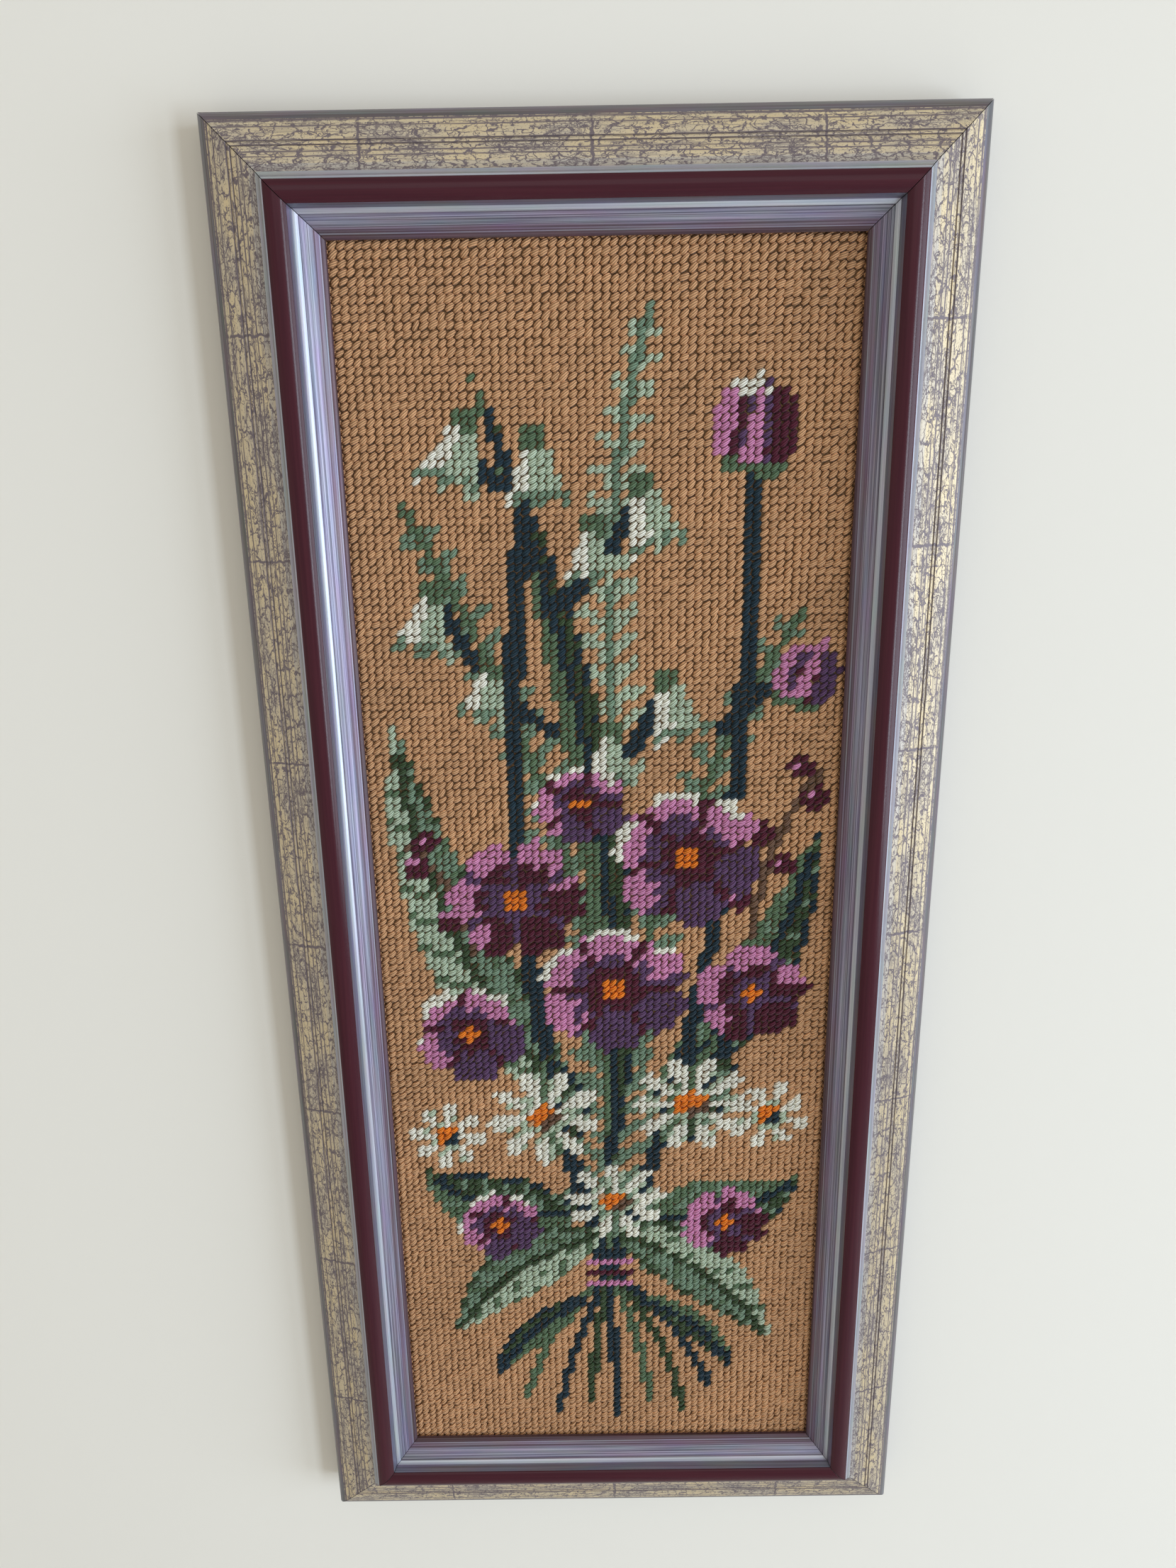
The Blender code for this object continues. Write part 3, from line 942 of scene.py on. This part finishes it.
def stitch_mesh(name, settings, places, chosen):
    """All the chosen stitches as one mesh of closed grains, each with its yarn's own coordinates."""
    grain, faces, cell = grain_of_yarn()
    one = {key: value[chosen][:, None] for key, value in places.items()}
    count = int(chosen.sum())
    half_long, half_wide, half_high = (
        settings.yarn_length / 2, settings.yarn_width / 2, settings.yarn_height / 2)
    top = -SHEET_LOW.y + settings.swell
    along = grain[:, 0] * half_long * one["long"]
    across = grain[:, 1] * half_wide * one["wide"]
    rise = grain[:, 2] * half_high * one["high"]
    rise += -BOW * half_high * grain[:, 0] ** 2 + TIP * half_high * one["tip"] * grain[:, 0]
    rise = np.minimum(rise, half_high)
    cos, sin = np.cos(one["slant"]), np.sin(one["slant"])
    points = np.stack([
        one["x"] + along * cos - across * sin,
        -(top - half_high + rise),
        one["z"] + along * sin + across * cos,
    ], -1)
    depth = np.broadcast_to(rise, along.shape)
    # Each stitch is cut from another place on the yarn
    yarn = np.stack([along + one["twist"] * 40 * MM, across + one["twist"] * 7 * MM, depth], -1)
    mesh = bpy.data.meshes.new(name)
    corners = np.concatenate([np.array(face) for face in faces])
    sizes = np.array([len(face) for face in faces])
    starts = np.concatenate([[0], np.cumsum(sizes)[:-1]])
    mesh.vertices.add(count * len(grain))
    mesh.vertices.foreach_set("co", points.ravel())
    mesh.loops.add(count * len(corners))
    shift = np.arange(count)[:, None]
    mesh.loops.foreach_set("vertex_index", (corners + shift * len(grain)).astype(np.int32).ravel())
    mesh.polygons.add(count * len(faces))
    mesh.polygons.foreach_set("loop_start", (starts + shift * len(corners)).astype(np.int32).ravel())
    mesh.update(calc_edges=True)
    mesh.shade_smooth()

    # Each stitch has its own cell of a square map, so that its yarn's colours can be laid out flat
    cells = math.ceil(math.sqrt(count))
    corner = np.stack([np.arange(count) % cells, np.arange(count) // cells], -1)[:, None, :]
    flat = (corner + CELL_MARGIN + (1 - 2 * CELL_MARGIN) * cell) / cells
    mesh.uv_layers.new(name=STITCH_MAP).data.foreach_set("uv", flat.astype(np.float32).ravel())
    mesh.attributes.new("yarn", "FLOAT_VECTOR", "POINT").data.foreach_set("vector", yarn.ravel())
    tone = np.repeat(one["tone"], len(grain), 1)
    mesh.attributes.new("tone", "FLOAT", "POINT").data.foreach_set("value", tone.ravel())
    return mesh


def stray_fibres(settings, chart, places, rng):
    """Fine loose hairs that curl a little way off the wool, as thin three-sided tubes."""
    mesh = bmesh.new()
    top = -SHEET_LOW.y + settings.swell
    radius, steps = 0.035 * MM, 6
    for _ in range(settings.fibres):
        row, column = (rng.integers(2, n - 2) for n in chart.x.shape)
        start = Vector((places["x"][row, column], -(top - 0.1 * MM), places["z"][row, column]))
        heading = rng.uniform(0, 2 * math.pi)
        curl = rng.normal(0, 0.5)
        length = rng.uniform(2.0, 6.5) * MM
        lift = rng.uniform(0.15, 0.8) * MM
        circle = bmesh.ops.create_circle(mesh, segments=3, radius=radius, cap_ends=True)
        tube = circle["verts"]
        way = Vector((math.cos(heading), 0, math.sin(heading)))
        bmesh.ops.rotate(mesh, verts=tube, matrix=way.to_track_quat("Z", "Y").to_matrix())
        bmesh.ops.translate(mesh, verts=tube, vec=start)
        end = tube[0].link_faces[:1]
        for step in range(1, steps + 1):
            share = step / steps
            heading += curl / steps * 2
            way = Vector((math.cos(heading), 0, math.sin(heading))) * length / steps
            way.y = -lift * (math.sin(math.pi * share) - math.sin(math.pi * (share - 1 / steps)))
            pushed = bmesh.ops.extrude_face_region(mesh, geom=end)["geom"]
            end = [item for item in pushed if isinstance(item, bmesh.types.BMFace)]
            moved = [item for item in pushed if isinstance(item, bmesh.types.BMVert)]
            bmesh.ops.translate(mesh, verts=moved, vec=way)
    bmesh.ops.recalc_face_normals(mesh, faces=mesh.faces)
    return mesh


class TAPESTRY_OT_stitches(bpy.types.Operator):
    """Stretch the canvas and work the design on it in tent stitch"""

    bl_idname = "tapestry.stitches"
    bl_label = "Canvas and stitches"

    def execute(self, context):
        settings = context.scene.tapestry_stitches
        rng = np.random.default_rng(settings.seed)
        chart = Chart(settings.columns, settings.rows, settings.margin, rng)
        bouquet(chart)
        places = stitch_places(settings, chart, rng)
        for number, (yarn, hex_colour) in enumerate(YARNS.items()):
            material = wool(f"{yarn.replace('_', ' ')} tapestry wool", hex_colour, settings.yarn_height)
            spots = np.flatnonzero(chart.yarn.ravel() == number)
            shares = np.array_split(spots, max(1, math.ceil(len(spots) / MOST_STITCHES)))
            for part, share in enumerate(shares, 1):
                chosen = np.zeros(chart.x.size, bool)
                chosen[share] = True
                name = f"wool_{yarn}_{part}" if len(shares) > 1 else f"wool_{yarn}"
                mesh = stitch_mesh(name, settings, places, chosen.reshape(chart.x.shape))
                mesh.materials.append(material)
                place_piece(name, mesh)
        hairs = stray_fibres(settings, chart, places, rng)
        pale = wool("loose pale wool hair", "b9a68c", settings.yarn_height)
        place_piece("stray_fibres", as_data("stray_fibres", hairs, [pale]))

        span = SHEET_HIGH - SHEET_LOW
        middle = (SHEET_HIGH + SHEET_LOW) / 2
        middle.y = SHEET_HIGH.y - settings.canvas_thickness / 2
        cloth = slab((span.x, settings.canvas_thickness, span.z), middle, 0.2 * MM, 2)
        canvas = place_piece("canvas", as_data("canvas", cloth, [ecru_canvas(settings)]),
                             ["stitched_sheet"])
        return {"FINISHED"}


# Backing board

def hardboard(settings):
    """Hardboard: brown, matt, with a fine felted mottle and the faint mesh of the press on its back."""
    material, add, shader = new_material("brown hardboard")
    spot = add("TexCoord")
    # Felted fibre about 1.2 mm long
    felt = add("TexNoise", {
        "Vector": spot.outputs["Object"], "Scale": 1 / (1.2 * MM), "Detail": 4.0, "Roughness": 0.65})
    clouds = add("TexNoise", {"Vector": spot.outputs["Object"], "Scale": 1 / (45 * MM), "Detail": 2.0})
    press = add("TexVoronoi", {
        "Vector": spot.outputs["Object"], "Scale": 1 / (1.6 * MM), "Randomness": 0.15})
    mottle = add("Math", {0: clouds, 1: 0.35, 2: felt}, operation="MULTIPLY_ADD")
    share = add("MapRange", {"Value": mottle, "From Min": 0.40, "From Max": 0.95})
    tone = add("Mix", {0: share, 6: linear("785539"), 7: settings.hardboard}, data_type="RGBA")
    height = add("Math", {0: press, 1: 0.6, 2: felt}, operation="MULTIPLY_ADD")
    relief = add("Bump", {"Height": height, "Distance": 0.12 * MM, "Strength": 0.6})
    feed(shader, {"Base Color": tone, "Normal": relief, "Roughness": 0.78})
    return material


class TAPESTRY_OT_board(bpy.types.Operator):
    """Lay the hardboard in the rebate behind the canvas"""

    bl_idname = "tapestry.board"
    bl_label = "Backing board"

    def execute(self, context):
        settings = context.scene.tapestry_board
        extent, middle = BOARD_HIGH - BOARD_LOW, (BOARD_HIGH + BOARD_LOW) / 2
        mesh = slab(extent, middle, settings.edge_round, 3)
        data = as_data("hardboard_back", mesh, [hardboard(settings)])
        place_piece("hardboard_back", data, ["backing_board"])
        return {"FINISHED"}


# Stage

# Sizes in metres
ROOM_HALF_WIDTH = 2.4
FLOOR_DROP = 1.4
SKY_COLOUR = (1.0, 0.945, 0.835)
SKY_STRENGTH = 0.54

# The lamps shine at the middle of the opening, and their places are measured from it
SOFTBOXES = (
    # name,            right, back,   up,    width, height, power, tint
    ("window_softbox", 1.45, -1.85, -0.05, 0.38, 1.4, 18.0, (0.74, 0.86, 1.0)),
    ("side_softbox",   2.10, -1.05, -0.15, 1.30, 1.6, 29.0, (0.72, 0.84, 1.0)),
    ("room_softbox",   0.10, -1.60,  0.85, 1.60, 0.9,  2.4, (0.95, 0.98, 1.0)),
    ("back_softbox",   0.30,  1.40,  0.50, 1.20, 1.2, 12.0, (1.00, 1.00, 1.0)),
)


def one_way_wall(settings):
    """Pale paint on the side that faces the room. From behind, the wall lets the eye through."""
    material, add, shader = new_material("pale wall paint")
    feed(shader, {"Base Color": settings.wall, "Roughness": 0.9})
    behind = add("NewGeometry")
    clear = add("BsdfTransparent")
    both = add("MixShader", {0: behind.outputs["Backfacing"], 1: shader, 2: clear})
    feed(material.node_tree.nodes["Material Output"], {"Surface": both})
    return material


def pale_floor(settings):
    """Matt paint, as pale as the wall."""
    material, _, shader = new_material("pale floor")
    feed(shader, {"Base Color": settings.floor, "Roughness": 0.8})
    return material


def show(name, data):
    """A mesh, lamp or camera of the stage as an object in the scene."""
    item = bpy.data.objects.new(name, data)
    bpy.context.scene.collection.objects.link(item)
    return item


def backdrop(name, material, turn, place):
    """A large square plane that is turned about X and moved to its place."""
    mesh = bmesh.new()
    bmesh.ops.create_grid(mesh, x_segments=1, y_segments=1, size=ROOM_HALF_WIDTH)
    bmesh.ops.rotate(mesh, verts=mesh.verts, matrix=Matrix.Rotation(turn, 3, "X"))
    bmesh.ops.translate(mesh, verts=mesh.verts, vec=place)
    return show(name, as_data(name, mesh, [material]))


def softbox(name, place, aim, width, height, power, tint):
    """A rectangular lamp that stands at a place and shines at a point."""
    lamp = bpy.data.lights.new(name, "AREA")
    lamp.shape = "RECTANGLE"
    lamp.size, lamp.size_y = width, height
    lamp.energy = power
    lamp.color = tint
    item = show(name, lamp)
    item.location = place
    item.rotation_euler = (aim - place).to_track_quat("-Z", "Y").to_euler()


class TAPESTRY_OT_stage(bpy.types.Operator):
    """Set up the pale wall and floor, the soft lights and the camera"""

    bl_idname = "tapestry.stage"
    bl_label = "Stage"

    def execute(self, context):
        settings = context.scene.tapestry_stage
        middle = Vector((0, 0, SIGHT_CENTRE_Z))
        wall = backdrop("wall", one_way_wall(settings), math.pi / 2, (0, 0.4 * MM, 0))
        wall.visible_shadow = False
        floor = backdrop("floor", pale_floor(settings), 0.0, middle - Vector((0, 0, FLOOR_DROP)))
        for name, *place, width, height, power, tint in SOFTBOXES:
            softbox(name, middle + Vector(place), middle, width, height, power, tint)

        world = context.scene.world or bpy.data.worlds.new("studio")
        context.scene.world = world
        world.use_nodes = True
        feed(world.node_tree.nodes["Background"], {"Color": SKY_COLOUR, "Strength": SKY_STRENGTH})

        lens = bpy.data.cameras.new("camera")
        lens.lens = settings.focal_length
        lens.sensor_width = 36.0
        lens.clip_start = 0.01
        camera = show("camera", lens)
        camera.location = (settings.camera_side, -SIGHT_LEVEL - settings.camera_distance,
                           SIGHT_CENTRE_Z + settings.camera_rise)
        turn = Euler((math.pi / 2 - settings.camera_pitch, 0, settings.camera_yaw)).to_matrix()
        lean = Matrix.Rotation(settings.camera_roll, 3, "Z")
        camera.rotation_euler = (turn @ lean).to_euler()
        context.scene.camera = camera
        context.scene.view_settings.view_transform = "Standard"
        return {"FINISHED"}


class TAPESTRY_PT_panel(bpy.types.Panel):
    """Lists the pieces of the framed picture"""

    bl_idname = "TAPESTRY_PT_panel"
    bl_label = "Canvas Work"
    bl_space_type = "VIEW_3D"
    bl_region_type = "UI"
    bl_category = "Canvas Work"

    def draw(self, context):
        for operator, settings in zip(OPERATORS, SETTINGS):
            box = self.layout.box()
            box.operator(operator.bl_idname)
            group = getattr(context.scene, settings)
            for name in group.bl_rna.properties.keys():
                if name not in ("rna_type", "name"):
                    box.prop(group, name)


OPERATORS = (TAPESTRY_OT_moulding, TAPESTRY_OT_board, TAPESTRY_OT_stitches, TAPESTRY_OT_stage)
SETTINGS = {
    "tapestry_moulding": MouldingSettings,
    "tapestry_board": BoardSettings,
    "tapestry_stitches": StitchSettings,
    "tapestry_stage": StageSettings,
}


def register():
    for name, group in SETTINGS.items():
        bpy.utils.register_class(group)
        setattr(bpy.types.Scene, name, bpy.props.PointerProperty(type=group))
    for item in (*OPERATORS, TAPESTRY_PT_panel):
        bpy.utils.register_class(item)


def unregister():
    for item in (TAPESTRY_PT_panel, *reversed(OPERATORS)):
        bpy.utils.unregister_class(item)
    for name, group in SETTINGS.items():
        delattr(bpy.types.Scene, name)
        bpy.utils.unregister_class(group)


def main():
    register()
    bpy.ops.tapestry.moulding()
    bpy.ops.tapestry.board()
    bpy.ops.tapestry.stitches()
    bpy.ops.tapestry.stage()


if __name__ == "__main__":
    main()
